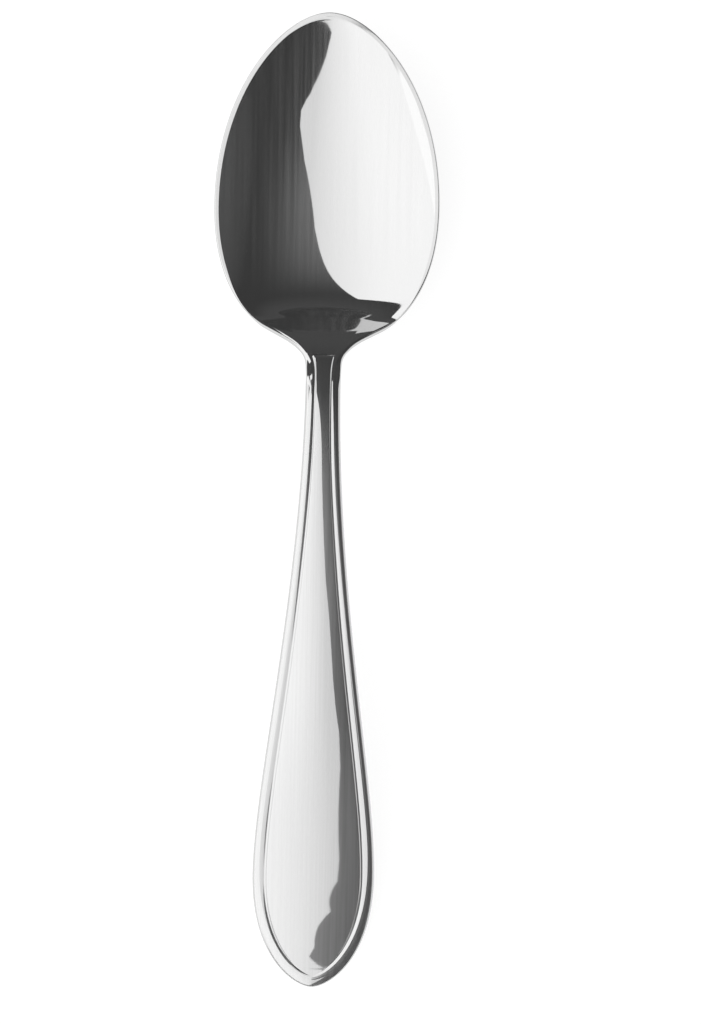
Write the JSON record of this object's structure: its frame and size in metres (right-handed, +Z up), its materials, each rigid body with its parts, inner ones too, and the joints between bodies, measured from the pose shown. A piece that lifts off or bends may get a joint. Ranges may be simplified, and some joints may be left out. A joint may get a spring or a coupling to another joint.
{
  "type": "dessert spoon",
  "caption": "Polished stainless steel dessert spoon with an egg-shaped bowl and an arched handle that has a thread border, a domed panel and a pointed end.",
  "frame": {"origin": "on the table under the middle of the spoon's length and width, as it lies with its hollow up", "axes": "+Y from the handle tip to the bowl tip, +X across, +Z up out of the bowl"},
  "size_m": [0.0416, 0.18, 0.0208],
  "materials": {
    "polished_steel": "mirror polish with faint lengthwise polishing lines"
  },
  "bodies": {
    "root": {"bowl": "polished_steel", "neck": "polished_steel", "handle": "polished_steel"}
  },
  "joints": []
}
